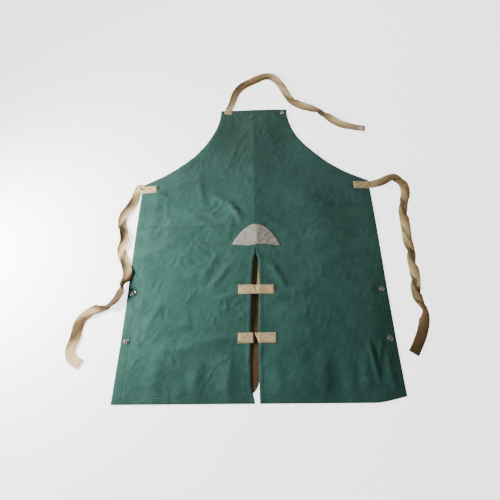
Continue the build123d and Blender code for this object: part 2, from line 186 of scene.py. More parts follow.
# Folds pressed or rucked into the cloth: x, y, heading in degrees, length, width, height
FOLDS = [
    (-0.175, 0.006, 0, 0.34, 0.00425, 0.0025), (0.15, 0.003, 0, 0.26, 0.0051, 0.001),
    (-0.168, 0.14, 101, 0.115, 0.0119, 0.00275), (-0.085, 0.08, -42, 0.13, 0.0102, 0.00325),
    (-0.06, 0.055, -62, 0.09, 0.0085, 0.00275), (-0.074, 0, 84, 0.07, 0.0085, 0.002),
    (-0.15, 0.02, -30, 0.12, 0.0136, 0.00225), (-0.096, -0.15, 52, 0.085, 0.0102, 0.00375),
    (-0.128, -0.12, 60, 0.075, 0.0102, 0.00275), (-0.086, -0.212, 16, 0.08, 0.0085, 0.0025),
    (0.06, -0.15, 118, 0.085, 0.0102, 0.0035), (0.092, -0.2, 12, 0.1, 0.0119, 0.002),
    (-0.17, -0.284, -6, 0.19, 0.0102, 0.00225), (-0.11, -0.322, 8, 0.17, 0.01105, 0.0025),
    (-0.19, -0.345, 4, 0.15, 0.0119, 0.002), (-0.27, -0.255, 64, 0.09, 0.0119, 0.002),
    (-0.3, 0.05, 80, 0.2, 0.017, 0.00175), (-0.27, -0.06, 25, 0.14, 0.0153, 0.00175),
    (0.284, -0.375, 96, 0.085, 0.00595, 0.00425), (0.306, -0.352, 70, 0.06, 0.0068, 0.00275),
    (0.322, -0.4, 92, 0.1, 0.0085, 0.00375), (0.262, -0.4, 80, 0.11, 0.0153, 0.003),
    (-0.25, -0.42, 84, 0.13, 0.0187, 0.00275), (-0.15, -0.43, 92, 0.12, 0.017, 0.003),
    (-0.07, -0.425, 88, 0.13, 0.017, 0.00325), (0.05, -0.425, 92, 0.13, 0.017, 0.003),
    (0.16, -0.425, 88, 0.15, 0.0204, 0.00375), (0.225, -0.42, 92, 0.12, 0.0153, 0.00275),
    (0.08, -0.01, -50, 0.1, 0.0119, 0.0015), (0.19, 0.08, -32, 0.16, 0.017, 0.00175),
    (0.24, -0.09, 20, 0.18, 0.017, 0.00175), (0.15, -0.27, -24, 0.16, 0.017, 0.002),
    (0.105, -0.36, 92, 0.26, 0.04675, 0.00425), (-0.06, 0.3, 70, 0.16, 0.0136, 0.00125),
    (0.05, 0.35, 104, 0.14, 0.0136, 0.00125), (-0.23, 0.15, 28, 0.13, 0.0136, 0.00175),
    (0.27, 0.14, -24, 0.11, 0.0136, 0.00175),
]
# Painted shade on the cloth, in the gap under the patch and where less light falls: x, y, half width, half
# height, strength
PAINTED_SHADE_PATCHES = [
    (0, -0.076, 0.0026, 0.014, 1.8), (-0.08, 0.33, 0.08, 0.12, 1), (0.06, 0.35, 0.07, 0.12, 0.5),
    (0.33, -0.3, 0.08, 0.18, 0.95), (-0.25, 0.17, 0.12, 0.06, 0.3), (0.26, 0.08, 0.09, 0.12, 0.4),
    (-0.3, -0.44, 0.25, 0.045, 0.25),
]
STUDS = ["neck_stud", "left_leg_studs", "right_leg_studs"]
SOCKETS = [f"{side}_{level}_strap_socket" for side in ("left", "right") for level in ("upper", "lower")]


def step(low, high, value):
    """0 up to low, 1 from high on, smooth between. With low above high it falls instead."""
    share = np.clip((value - low) / (high - low), 0, 1)
    return share * share * (3 - 2 * share)


def ripple(x, y, seed, wavelength, count=20):
    """Uneven soft waves in every direction, about 1 high."""
    random = np.random.default_rng(seed)
    total = np.zeros_like(x)
    for _ in range(count):
        turn = random.uniform(0, math.pi)
        length = wavelength * random.uniform(0.7, 1.6)
        phase = random.uniform(0, 2 * math.pi)
        total += np.sin((x * math.cos(turn) + y * math.sin(turn)) * 2 * math.pi / length + phase)
    return total / math.sqrt(count)


def crumple(x, y, seed, wavelength):
    """Creased cloth: narrow ridges that wander and die away, from 0 to about 1."""
    bent_x = x + 0.25 * wavelength * ripple(x, y, seed + 1, 1.4 * wavelength)
    bent_y = y + 0.25 * wavelength * ripple(x, y, seed + 2, 1.4 * wavelength)
    ridge = 1 - np.minimum(1, np.abs(ripple(bent_x, bent_y, seed, wavelength)) / 0.55)
    strong = step(-0.3, 1.2, ripple(x, y, seed + 3, 2.2 * wavelength))
    return ridge ** 1.6 * strong


def fold(x, y, at_x, at_y, heading, length, width, height):
    """A ridge in the cloth that dies away at its ends, with a slight curve."""
    turn = math.radians(heading)
    along = (x - at_x) * math.cos(turn) + (y - at_y) * math.sin(turn)
    across = (y - at_y) * math.cos(turn) - (x - at_x) * math.sin(turn)
    across = across + 0.6 * along * along
    return height * np.exp(-(across / width) ** 2 - (2 * along / length) ** 4)


def middles(node, split_y=None):
    """The middles of the round pieces in one node, two of them where split_y divides it."""
    points = np.array([tuple(v.co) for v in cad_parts[node].data.vertices])
    groups = [points]
    if split_y is not None:
        groups = [points[points[:, 1] > split_y], points[points[:, 1] <= split_y]]
    return [tuple((g.min(0) + g.max(0))[:2] / 2) for g in groups]


STUD_PLACES = [p for node in STUDS for p in middles(node, None if node == "neck_stud" else -0.25)]
SOCKET_PLACES = [p for node in SOCKETS for p in middles(node)]


def surface(x, y):
    """The height of the cloth's front face."""
    x = np.asarray(x, float)
    y = np.asarray(y, float)
    ridge = step(-0.075, -0.035, y)
    lift = 0.0062 * np.exp(-np.sqrt(x * x + 0.0015 ** 2) / 0.055) * ridge
    lift += 0.0030 * np.exp(-np.sqrt(x * x + 0.004 ** 2) / 0.05) * (1 - ridge) * step(-0.16, -0.05, y)
    tent = np.maximum(0, 1 - np.sqrt(x * x + 0.01 ** 2) / 0.28)
    lift += 0.0050 * tent * step(-0.46, -0.20, y) * step(0.47, 0.30, y)
    for one in FOLDS:
        lift += fold(x, y, *one)
    worn = 0.55 + 0.45 * step(0.05, -0.10, x)
    lift += 0.0016 * np.maximum(0, 1 + 0.9 * ripple(x, y, 4, 0.17))
    lift += 0.0017 * worn * crumple(x, y, 21, 0.16)
    lift += 0.0022 * worn * crumple(x, y, 27, 0.075)
    lift += 0.0016 * worn * crumple(x, y, 35, 0.038)
    lift += 0.00016 * ripple(x, y, 15, 0.018)
    free = np.ones_like(x)
    for at_x, at_y in STUD_PLACES:
        free *= step(0.009, 0.030, np.hypot(x - at_x, y - at_y))
    side = np.minimum(HALF_WIDTH - np.abs(x), np.minimum(HALF_LENGTH - y, y + HALF_LENGTH))
    free *= 0.35 + 0.65 * step(0.0, 0.05, side)
    lift = np.maximum(lift, 0) * free
    for at_x, at_y in SOCKET_PLACES:
        lift = np.maximum(lift, 0.0024 * (1 - step(0.008, 0.026, np.hypot(x - at_x, y - at_y))))
    return SHEET_TOP + lift


def drawn_in(x, y):
    """Where the cut edge really lies: the right leg's corner is pulled up and the sides aren't quite true."""
    corner = np.clip((x - 0.275) / 0.075, 0, 1.1) ** 1.4 * step(0.20, 0.47, -y)
    y = y + 0.014 * corner
    x = x + 0.0016 * np.sin(y * 9.0 + 1.0) * np.sign(x) * step(0.25, 0.35, np.abs(x))
    downs = [0.064, 0.13, 0.22, 0.27, 0.37, 0.43, 0.47]
    left_lean = np.interp(-y, downs, [0, 0.0004, 0.004, 0.006, 0.0075, 0.0055, -0.0035])
    right_lean = np.interp(-y, downs, [0, 0.0003, 0.003, 0.0045, 0.0056, 0.0056, 0.0050])
    x = x - np.where(x < 0, left_lean, right_lean) * np.exp(-(x / 0.07) ** 2)
    return x, y


# Mesh building


def link(piece):
    bpy.context.scene.collection.objects.link(piece)
    return piece


def shell(name, top, bottom, bulge, uv, materials, attributes=None, joined=None):
    """A closed piece of cloth between two grids of points, with a rounded edge all round.
    joined is the row of the grid that another piece carries on from, which is left square."""
    rows, cols = top.shape[:2]
    grid = np.arange(rows * cols).reshape(rows, cols)
    ring = np.concatenate([grid[0, :-1], grid[:-1, -1], grid[-1, :0:-1], grid[:0:-1, 0]])
    inner = np.concatenate([grid[1, :-1], grid[:-1, -2], grid[-2, :0:-1], grid[:0:-1, 1]])
    flat_top = top.reshape(-1, 3)
    flat_bottom = bottom.reshape(-1, 3)
    out = flat_top[ring] - flat_top[inner]
    out /= np.maximum(np.linalg.norm(out, axis=1, keepdims=True), 1e-9)
    swell = np.full((len(ring), 1), bulge)
    seam_row = [] if joined is None else grid[joined]
    swell[np.isin(ring, seam_row)] = 0
    middle = (flat_top[ring] + flat_bottom[ring]) / 2 + out * swell
    count = rows * cols
    verts = np.concatenate([flat_top, flat_bottom, middle])
    a, b, c, d = grid[:-1, :-1].ravel(), grid[:-1, 1:].ravel(), grid[1:, 1:].ravel(), grid[1:, :-1].ravel()
    upper = np.stack([a, b, c, d], 1)
    lower = np.stack([a, d, c, b], 1) + count
    here = np.arange(len(ring))
    after = np.roll(here, -1)
    brim = np.stack([2 * count + here, 2 * count + after, ring[after], ring[here]], 1)
    hem = np.stack([count + ring[here], count + ring[after], 2 * count + after, 2 * count + here], 1)
    faces = np.concatenate([upper, brim, lower, hem])
    mesh = bpy.data.meshes.new(name)
    mesh.from_pydata(verts.tolist(), [], faces.tolist())
    per_vertex = np.concatenate([uv.reshape(-1, 2), uv.reshape(-1, 2), uv.reshape(-1, 2)[ring]])
    layer = mesh.uv_layers.new(name="UVMap")
    layer.data.foreach_set("uv", per_vertex[faces.ravel()].astype(np.float32).ravel())
    for key, values in (attributes or {}).items():
        whole = np.concatenate([values.ravel(), values.ravel(), values.ravel()[ring]])
        mesh.attributes.new(key, "FLOAT", "POINT").data.foreach_set("value", whole.astype(np.float32))
    for material in materials:
        mesh.materials.append(material)
    index = np.zeros(len(faces), np.int32)
    if len(materials) > 1:
        index[len(upper) + len(brim):] = 1
    mesh.polygons.foreach_set("material_index", index)
    mesh.polygons.foreach_set("use_smooth", np.ones(len(faces), bool))
    if joined is not None:
        ends = np.zeros(2 * len(mesh.edges), np.int32)
        mesh.edges.foreach_get("vertices", ends)
        ends = ends.reshape(-1, 2)
        both = np.concatenate([seam_row, seam_row + rows * cols])
        sharp = np.isin(ends, both).all(1)
        mesh.attributes.new("sharp_edge", "BOOLEAN", "EDGE").data.foreach_set("value", sharp)
    mesh.validate()
    mesh.update()
    return link(bpy.data.objects.new(name, mesh))


def route(name, points):
    """The smooth line through a route's control points, as points in order."""
    data = bpy.data.curves.new(name, "CURVE")
    data.dimensions = "3D"
    data.resolution_u = 16
    spline = data.splines.new("NURBS")
    spline.points.add(len(points) - 1)
    for point, place in zip(spline.points, points):
        point.co = (*place, 1)
    spline.order_u = 3
    spline.use_endpoint_u = True
    line = link(bpy.data.objects.new(name, data))
    bpy.context.view_layer.update()
    mesh = bpy.data.meshes.new_from_object(line.evaluated_get(bpy.context.evaluated_depsgraph_get()))
    found = np.array([tuple(v.co) for v in mesh.vertices])
    bpy.data.objects.remove(line)
    bpy.data.meshes.remove(mesh)
    return found


def spaced(points, gap):
    """The same line, with its points evenly apart, and the share of the length at each."""
    lengths = np.concatenate([[0], np.cumsum(np.linalg.norm(np.diff(points, axis=0), axis=1))])
    at = np.linspace(0, lengths[-1], max(8, int(lengths[-1] / gap)))
    line = np.stack([np.interp(at, lengths, points[:, k]) for k in range(3)], 1)
    return line, at


def keyed(keys, shares, column=1):
    """Key values eased between their places."""
    places = np.array([k[0] for k in keys], float)
    values = np.array([k[column] for k in keys], float)
    after = np.clip(np.searchsorted(places, shares, side="right"), 1, len(places) - 1)
    share = (shares - places[after - 1]) / (places[after] - places[after - 1])
    eased = step(0, 1, share)
    return values[after - 1] * (1 - eased) + values[after] * eased


def ribbon(name, points, rolls, shades, materials, curl=0.0012, seed=1, ruffle=0.0006, skew=0.0, mitred=False,
           doubled=None):
    """A flat cotton tape along a line, turned, cupped and slightly ruffled, and kept off the floor.
    skew sets its twists aslant, a mitred tape turns its corners as square folds, and doubled is where two
    lengths of tape are joined, as two shares of the length."""
    line, at = spaced(points, LINE_STEP)
    shares = at / at[-1]
    along = np.gradient(line, axis=0)
    along /= np.linalg.norm(along, axis=1, keepdims=True)
    side = np.cross(along, (0, 0, 1))
    side /= np.linalg.norm(side, axis=1, keepdims=True)
    up = np.cross(side, along)
    unit = np.array([-1, -0.97, -0.88, -0.66, -0.44, -0.22, 0, 0.22, 0.44, 0.66, 0.88, 0.97, 1])
    settle = (step(0, 0.05, shares) * step(1, 0.95, shares))[:, None]
    aslant = np.clip(shares[:, None] + skew * unit[None, :] * settle, 0, 1)
    roll = np.radians(keyed(rolls, aslant))[:, :, None]
    wide = side[:, None, :] * np.cos(roll) + up[:, None, :] * np.sin(roll)
    face = up[:, None, :] * np.cos(roll) - side[:, None, :] * np.sin(roll)
    cup = curl * settle * (1 + 0.8 * ripple(at, np.full_like(at, seed), seed, 0.07)[:, None])
    right_wave = ripple(at, np.full_like(at, seed), seed + 5, 0.03)[:, None] * np.maximum(unit, 0) ** 2
    left_wave = ripple(at, np.full_like(at, -seed), seed + 8, 0.03)[:, None] * np.minimum(unit, 0) ** 2
    wave = ruffle * settle * (right_wave + left_wave)
    offset = cup * (unit[None, :] ** 2 - 0.4) + wave
    reach = np.broadcast_to(unit[None, :] * TAPE_WIDTH / 2, (len(line), len(unit))).copy()
    if mitred:
        turn = np.cross(along, np.gradient(along, axis=0))[:, 2]
        square = np.minimum(WIDEST_MITRE, 1 / np.maximum(np.abs(along[:, 0]), np.abs(along[:, 1])))
        outer = (turn[:, None] * unit[None, :] * np.cos(roll[:, :, 0]) > 0) & (np.abs(turn[:, None]) > 0.02)
        reach = np.where(outer, reach * square[:, None], reach)
    selvedge = 1 + 0.18 * np.exp(-((np.abs(unit) - 0.9) / 0.06) ** 2)
    thick = (TAPE / 2) * (1 - 0.45 * np.abs(unit) ** 12) * selvedge
    above = np.broadcast_to(thick[None, :], reach.shape).copy()
    if doubled:
        lap = ((shares > doubled[0]) & (shares < doubled[1]))[:, None]
        above = above + TAPE * lap
        reach = reach * np.where(lap, 1.05, 1.0)
    middle = line[:, None, :] + wide * reach[:, :, None] + face * offset[:, :, None]
    top = middle + face * above[:, :, None]
    bottom = middle - face * thick[None, :, None]
    lowest = np.minimum(top[:, :, 2].min(1), bottom[:, :, 2].min(1))
    near = np.pad(np.maximum(0, TAPE_CLEAR - lowest), 4, mode="edge")
    widest = np.array([near[k:k + 9].max() for k in range(len(line))])
    raise_by = np.convolve(np.pad(widest, 4, mode="edge"), np.ones(9) / 9, mode="valid")[:, None]
    top[:, :, 2] = np.clip(top[:, :, 2] + raise_by, 0.0002, HIGHEST)
    bottom[:, :, 2] = np.clip(bottom[:, :, 2] + raise_by, 0.0001, HIGHEST)
    across = np.broadcast_to(unit[None, :] * TAPE_WIDTH / 2, reach.shape)
    uv = np.stack([across, np.broadcast_to(at[:, None], reach.shape)], 2)
    # Painted shade, darker towards the tape's edges
    mix = (unit[None, :] + 1) / 2
    shade = keyed(shades, aslant, 1) * (1 - mix) ** 1.2 + keyed(shades, aslant, 2) * mix ** 1.2
    return shell(name, top, bottom, 0.0004, uv, materials, {"shade": shade})


def solid(name, verts, faces, material):
    """A smooth closed piece of one material."""
    mesh = bpy.data.meshes.new(name)
    mesh.from_pydata([tuple(v) for v in verts], [], faces)
    mesh.polygons.foreach_set("use_smooth", np.ones(len(faces), bool))
    mesh.materials.append(material)
    mesh.validate()
    mesh.update()
    return link(bpy.data.objects.new(name, mesh))


def bead_mesh(name, beads, radius, material):
    """Stitches: each bead is a short plump length of thread from one point to another."""
    sides = 6
    turns = np.arange(sides) * 2 * math.pi / sides
    stations = [(0.0, 0.35, -0.5), (0.18, 1.0, 0.0), (0.5, 1.12, 0.25), (0.82, 1.0, 0.0), (1.0, 0.35, -0.5)]
    verts = []
    faces = []
    for start, end in beads:
        start = np.asarray(start, float)
        end = np.asarray(end, float)
        along = end - start
        length = np.linalg.norm(along)
        if length < 1e-5:
            continue
        along /= length
        side = np.cross(along, (0, 0, 1.0))
        side /= max(np.linalg.norm(side), 1e-6)
        up = np.cross(side, along)
        base = len(verts)
        for share, fat, rise in stations:
            middle = start + along * length * share + up * rise * radius
            for turn in turns:
                verts.append(middle + (side * math.cos(turn) + up * math.sin(turn)) * radius * fat)
        for ring in range(len(stations) - 1):
            for k in range(sides):
                low = base + ring * sides
                after = (k + 1) % sides
                faces.append((low + k, low + after, low + sides + after, low + sides + k))
        faces.append(tuple(base + k for k in range(sides))[::-1])
        faces.append(tuple(base + (len(stations) - 1) * sides + k for k in range(sides)))
    return solid(name, verts, faces, material)


def seam(points, lift, pitch=0.0034, gap=0.0009, height=surface):
    """The beads of one row of stitches along a flat line, lying on the cloth."""
    flat = np.array([(p[0], p[1], 0.0) for p in points], float)
    line, at = spaced(flat, 0.0005)
    beads = []
    for start in np.arange(0, at[-1] - pitch, pitch):
        ends = []
        for place in (start + gap / 2, start + pitch - gap / 2):
            x = np.interp(place, at, line[:, 0])
            y = np.interp(place, at, line[:, 1])
            z = float(height(np.array([x]), np.array([y]))[0]) + lift
            x, y = drawn_in(x, y)
            ends.append((float(x), float(y), z))
        beads.append(tuple(ends))
    return beads


# Materials


def tree(name):
    material = bpy.data.materials.new(name)
    material.use_nodes = True
    nodes = material.node_tree.nodes
    return material, nodes, material.node_tree.links, nodes["Principled BSDF"]


def scaled_uv(nodes, links, scale):
    coords = nodes.new("ShaderNodeTexCoord")
    mapping = nodes.new("ShaderNodeMapping")
    mapping.inputs["Scale"].default_value = scale
    links.new(coords.outputs["UV"], mapping.inputs["Vector"])
    return mapping.outputs["Vector"]


def noise(nodes, links, vector, scale, detail=4.0, rough=0.55):
    texture = nodes.new("ShaderNodeTexNoise")
    texture.inputs["Scale"].default_value = scale
    texture.inputs["Detail"].default_value = detail
    texture.inputs["Roughness"].default_value = rough
    links.new(vector, texture.inputs["Vector"])
    return texture.outputs["Fac"]


def threads(nodes, links, vector, direction, period, distort=0.0):
    """A wave across the cloth with one crest for each thread."""
    texture = nodes.new("ShaderNodeTexWave")
    texture.bands_direction = direction
    texture.inputs["Scale"].default_value = 2 * math.pi / (20 * period)
    texture.inputs["Distortion"].default_value = distort
    texture.inputs["Detail"].default_value = 2.0
    links.new(vector, texture.inputs["Vector"])
    return texture.outputs["Fac"]


def maths(nodes, links, kind, a, b):
    node = nodes.new("ShaderNodeMath")
    node.operation = kind
    for socket, value in zip(node.inputs, (a, b)):
        if isinstance(value, (int, float)):
            socket.default_value = value
        else:
            links.new(value, socket)
    return node.outputs["Value"]


def ramp(nodes, links, value, stops):
    node = nodes.new("ShaderNodeValToRGB")
    while len(node.color_ramp.elements) < len(stops):
        node.color_ramp.elements.new(0.5)
    for element, (place, colour) in zip(node.color_ramp.elements, stops):
        element.position = place
        element.color = (*colour, 1)
    links.new(value, node.inputs["Fac"])
    return node.outputs["Color"]


def blended(nodes, links, share, a, b, kind="MIX"):
    node = nodes.new("ShaderNodeMix")
    node.data_type = "RGBA"
    node.blend_type = kind
    pairs = ((node.inputs[0], share), (node.inputs[6], a), (node.inputs[7], b))
    for socket, value in pairs:
        if isinstance(value, (int, float)):
            socket.default_value = value
        elif isinstance(value, tuple):
            socket.default_value = (*value, 1)
        else:
            links.new(value, socket)
    return node.outputs[2]


def bumped(nodes, links, shader, height, distance, strength=1.0):
    node = nodes.new("ShaderNodeBump")
    node.inputs["Distance"].default_value = distance
    node.inputs["Strength"].default_value = strength
    links.new(height, node.inputs["Height"])
    links.new(node.outputs["Normal"], shader.inputs["Normal"])


def canvas(name, dark, light, faded):
    """Green cotton canvas: plain weave, slubs, cloudy fading, and painted shade along the fold creases and in
    patches.
    """
    material, nodes, links, shader = tree(name)
    plain = scaled_uv(nodes, links, (1, 1, 1))
    warp = threads(nodes, links, plain, "X", 0.0011, 0.4)
    weft = threads(nodes, links, plain, "Y", 0.0013, 0.4)
    weave = maths(nodes, links, "MAXIMUM", warp, weft)
    slub_x = noise(nodes, links, scaled_uv(nodes, links, (30, 400, 1)), 2.0, 3.0)
    slub_y = noise(nodes, links, scaled_uv(nodes, links, (400, 30, 1)), 2.0, 3.0)
    slubs = maths(nodes, links, "MULTIPLY", maths(nodes, links, "ADD", slub_x, slub_y), 0.5)
    cloud = noise(nodes, links, plain, 9.0, 5.0, 0.6)
    base = ramp(nodes, links, cloud, [(0.3, dark), (0.62, light), (0.85, faded)])
    speck = ramp(nodes, links, slubs, [(0.38, (0.88, 0.89, 0.89)), (0.62, (1.08, 1.07, 1.07))])
    colour = blended(nodes, links, 1.0, base, speck, "MULTIPLY")
    rubbed = noise(nodes, links, plain, 34.0, 4.0, 0.65)
    tired = ramp(nodes, links, rubbed, [(0.35, (0.78, 0.84, 0.84)), (0.65, (1.22, 1.12, 1.12))])
    colour = blended(nodes, links, 0.85, colour, tired, "MULTIPLY")
    sunk = ramp(nodes, links, weave, [(0.35, (0.62, 0.64, 0.64)), (0.8, (1.08, 1.08, 1.08))])
    colour = blended(nodes, links, 0.55, colour, sunk, "MULTIPLY")
    # Painted shade from the attribute, mixed towards a darker green
    painted_shade = nodes.new("ShaderNodeAttribute")
    painted_shade.attribute_name = "painted_shade"
    share = maths(nodes, links, "MULTIPLY", painted_shade.outputs["Fac"], 0.5)
    colour = blended(nodes, links, share, colour, tuple(c * 0.45 for c in dark))
    links.new(colour, shader.inputs["Base Color"])
    shader.inputs["Roughness"].default_value = 0.88
    shader.inputs["Specular IOR Level"].default_value = 0.22
    shader.inputs["Sheen Weight"].default_value = 0.18
    shader.inputs["Sheen Roughness"].default_value = 0.5
    height = maths(nodes, links, "ADD", weave, maths(nodes, links, "MULTIPLY", slubs, 1.4))
    bumped(nodes, links, shader, height, 0.00022, 0.8)
    return material


def cotton(name, pale, deep, shade_colour):
    """Cotton twill tape. The shade attribute darkens it towards its edges with painted shade."""
    material, nodes, links, shader = tree(name)
    plain = scaled_uv(nodes, links, (1, 1, 1))
    twill = threads(nodes, links, plain, "DIAGONAL", 0.0016, 0.3)
    rows = threads(nodes, links, plain, "Y", 0.0010, 0.5)
    cloth = maths(nodes, links, "MULTIPLY", maths(nodes, links, "ADD", twill, rows), 0.5)
    mottle = noise(nodes, links, plain, 70.0, 5.0, 0.6)
    base = ramp(nodes, links, mottle, [(0.3, deep), (0.65, pale)])
    shade = nodes.new("ShaderNodeAttribute")
    shade.attribute_name = "shade"
    uneven = maths(nodes, links, "ADD", shade.outputs["Fac"], maths(nodes, links, "MULTIPLY", mottle, 0.35))
    spread = ramp(nodes, links, uneven, [(0.22, (0, 0, 0)), (0.88, (1, 1, 1))])
    colour = blended(nodes, links, spread, base, shade_colour)
    sunk = ramp(nodes, links, cloth, [(0.3, (0.72, 0.69, 0.64)), (0.7, (1.06, 1.05, 1.04))])
    colour = blended(nodes, links, 0.6, colour, sunk, "MULTIPLY")
    links.new(colour, shader.inputs["Base Color"])
    shader.inputs["Roughness"].default_value = 0.85
    shader.inputs["Specular IOR Level"].default_value = 0.25
    shader.inputs["Sheen Weight"].default_value = 0.15
    bumped(nodes, links, shader, cloth, 0.00025, 0.9)
    return material


def suede(name):
    material, nodes, links, shader = tree(name)
    plain = scaled_uv(nodes, links, (1, 1, 1))
    nap = noise(nodes, links, plain, 900.0, 3.0, 0.7)
    brushed = noise(nodes, links, scaled_uv(nodes, links, (60, 140, 1)), 1.0, 5.0, 0.6)
    greys = [(0.3, (0.27, 0.235, 0.205)), (0.55, (0.38, 0.345, 0.31)), (0.8, (0.47, 0.44, 0.41))]
    base = ramp(nodes, links, brushed, greys)
    # Painted shade: the half right of the crease is darker, as it slopes away from the light
    across = nodes.new("ShaderNodeSeparateXYZ")
    links.new(plain, across.inputs[0])
    past_crease = maths(nodes, links, "MULTIPLY", across.outputs["X"], 60.0)
    crease_side_shade = ramp(nodes, links, past_crease, [(0.0, (1, 1, 1)), (0.5, (0.74, 0.72, 0.67))])
    base = blended(nodes, links, 1.0, base, crease_side_shade, "MULTIPLY")
    grain = ramp(nodes, links, nap, [(0.35, (0.85, 0.84, 0.83)), (0.65, (1.1, 1.1, 1.1))])
    links.new(blended(nodes, links, 0.8, base, grain, "MULTIPLY"), shader.inputs["Base Color"])
    shader.inputs["Roughness"].default_value = 0.95
    shader.inputs["Specular IOR Level"].default_value = 0.15
    shader.inputs["Sheen Weight"].default_value = 0.35
    shader.inputs["Sheen Roughness"].default_value = 0.6
    bumped(nodes, links, shader, nap, 0.0003, 0.8)
    return material


def metal(name, colour, rough):
    """Worn nickel plate, from the object's own coordinates because the CAD pieces have no map."""
    material, nodes, links, shader = tree(name)
    coords = nodes.new("ShaderNodeTexCoord")
    blotch = noise(nodes, links, coords.outputs["Object"], 420.0, 5.0, 0.6)
    scratch = noise(nodes, links, coords.outputs["Object"], 2600.0, 2.0, 0.5)
    tone = ramp(nodes, links, blotch, [(0.35, tuple(c * 0.72 for c in colour)), (0.65, colour)])
    links.new(tone, shader.inputs["Base Color"])
    shader.inputs["Metallic"].default_value = 1.0
    spread = nodes.new("ShaderNodeMapRange")
    spread.inputs["To Min"].default_value = rough
    spread.inputs["To Max"].default_value = rough + 0.25
    links.new(scratch, spread.inputs["Value"])
    links.new(spread.outputs["Result"], shader.inputs["Roughness"])
    bumped(nodes, links, shader, scratch, 0.00005, 0.4)
    return material


def thread(name, dark, light):
    material, nodes, links, shader = tree(name)
    coords = nodes.new("ShaderNodeTexCoord")
    twist = noise(nodes, links, coords.outputs["Object"], 1500.0, 2.0, 0.5)
    links.new(ramp(nodes, links, twist, [(0.3, dark), (0.7, light)]), shader.inputs["Base Color"])
    shader.inputs["Roughness"].default_value = 0.6
    shader.inputs["Sheen Weight"].default_value = 0.2
    bumped(nodes, links, shader, twist, 0.0001, 0.6)
    return material


GREEN = canvas("canvas_front", (0.022, 0.088, 0.068), (0.033, 0.116, 0.093), (0.050, 0.150, 0.124))
GREEN_BACK = canvas("canvas_back", (0.026, 0.082, 0.062), (0.040, 0.118, 0.092), (0.060, 0.150, 0.120))
# The third colour of each tape is the painted shade that the shade attribute mixes in
CREAM = cotton("tape_face", (0.883, 0.711, 0.394), (0.707, 0.513, 0.238), (0.16, 0.088, 0.030))
# The tape's reverse face, coloured as the cream tape in shade: painted shade
SHADED_TAPE_BACK = cotton("tape_reverse_painted_shade", (0.27, 0.170, 0.062), (0.18, 0.108, 0.038), (0.10, 0.056, 0.019))
SUEDE = suede("suede_patch")
NICKEL = metal("nickel", (0.44, 0.43, 0.41), 0.15)
TAPE_THREAD = thread("tape_thread", (0.12, 0.065, 0.022), (0.22, 0.135, 0.055))
GREEN_THREAD = thread("canvas_thread", (0.026, 0.092, 0.072), (0.050, 0.148, 0.122))
GREY_THREAD = thread("suede_thread", (0.30, 0.27, 0.24), (0.46, 0.42, 0.38))


# The camera comes first, then the tapes


def make_camera():
    data = bpy.data.cameras.new("camera")
    data.sensor_width = 36
    data.lens = LENS
    eye = link(bpy.data.objects.new("camera", data))
    eye.location = EYE_PLACE
    eye.rotation_euler = [math.radians(turn) for turn in EYE_TURN]
    bpy.context.scene.camera = eye


def held_up(points, rolls):
    """The control points, raised where the tape stands on its edge."""
    places = np.array(points)
    gone = np.concatenate([[0], np.cumsum(np.linalg.norm(np.diff(places, axis=0), axis=1))])
    turned = np.abs(np.sin(np.radians(keyed(rolls, gone / gone[-1]))))
    places[:, 2] = np.maximum(places[:, 2], turned * TAPE_WIDTH / 2 + 0.001)
    places[0] = points[0]
    return places.tolist()


def free_tape(name, body, points, rolls, shades, nodes, pieces=(), seed=1, exit_at=None, **shape):
    """One free tape along its own route."""
    line = route(name + "_line", held_up(points, rolls))
    tape = ribbon(name + "_tape", line, rolls, shades, [CREAM, SHADED_TAPE_BACK], seed=seed, **shape)
    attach(tape, body)
    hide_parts(*nodes)
    return tape


def make_neck_strap():
    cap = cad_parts["neck_strap_cap"]
    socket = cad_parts["neck_strap_socket"]
    tip_low, tip_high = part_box("neck_strap_tip")
    last = np.array(NECK_STRAP_ROUTE[-1])
    before = np.array(NECK_STRAP_ROUTE[-2])
    ahead = (last - before) / np.linalg.norm(last - before)
    ahead[2] = 0
    tip_line = np.array([last + ahead * reach for reach in np.linspace(-0.004, 0.028, 9)])
    tip_line[:, 2] = last[2] + 0.0001
    # Painted shade on the tip's edges
    tip_shade = [(0, 0.3, 0.45), (1, 0.15, 0.2)]
    tip = ribbon("neck_strap_doubled_tip", tip_line, FLAT, tip_shade, [CREAM, SHADED_TAPE_BACK], curl=0, ruffle=0)
    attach(tip, "bib")
    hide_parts("neck_strap_tip")
    free_tape("neck_strap", "bib", NECK_STRAP_ROUTE, NECK_ROLL, NECK_SHADE, ["neck_strap"],
              [tip, cap, socket], seed=3, skew=0.018, doubled=(0.535, 0.565))


def make_leg_straps():
    for seed, (name, places) in enumerate(LEG_STRAP_ROUTES.items()):
        points = [(x, y, LEG_STRAP_LEVEL) for x, y in places]
        body = name.split("_")[0] + "_leg"
        pieces = [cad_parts[f"{name}_strap_{end}"] for end in ("cap", "socket")]
        # The straps in the gap lie dark reverse face up with painted shadow; the upper right one stays cream
        shades = CREAM_GAP_SHADE if name == "right_upper" else GAP_SHADE
        rolls = FLAT if name == "right_upper" else BACK_UP
        free_tape(f"{name}_strap", body, points, rolls, shades, [f"{name}_strap"], pieces, seed=20 + seed,
                  exit_at=STRAP_EXITS[name], curl=0.0, ruffle=0.00012, mitred=name != "left_lower")


# The canvas


def armhole_width(y):
    """Half the panel's width at a height above the waist."""
    t = np.linspace(0, 1, 400)
    weights = [(1 - t) ** 3, 3 * t * (1 - t) ** 2, 3 * t * t * (1 - t), t ** 3]
    xs = sum(w * p[0] for w, p in zip(weights, ARMHOLE))
    ys = sum(w * p[1] for w, p in zip(weights, ARMHOLE))
    return np.where(y <= WAIST_Y, HALF_WIDTH, np.interp(y, ys[::-1], xs[::-1]))


def split_width(y):
    """Half the gap between the legs."""
    return np.interp(-y, SPLIT_PLACES, SPLIT_HALVES)


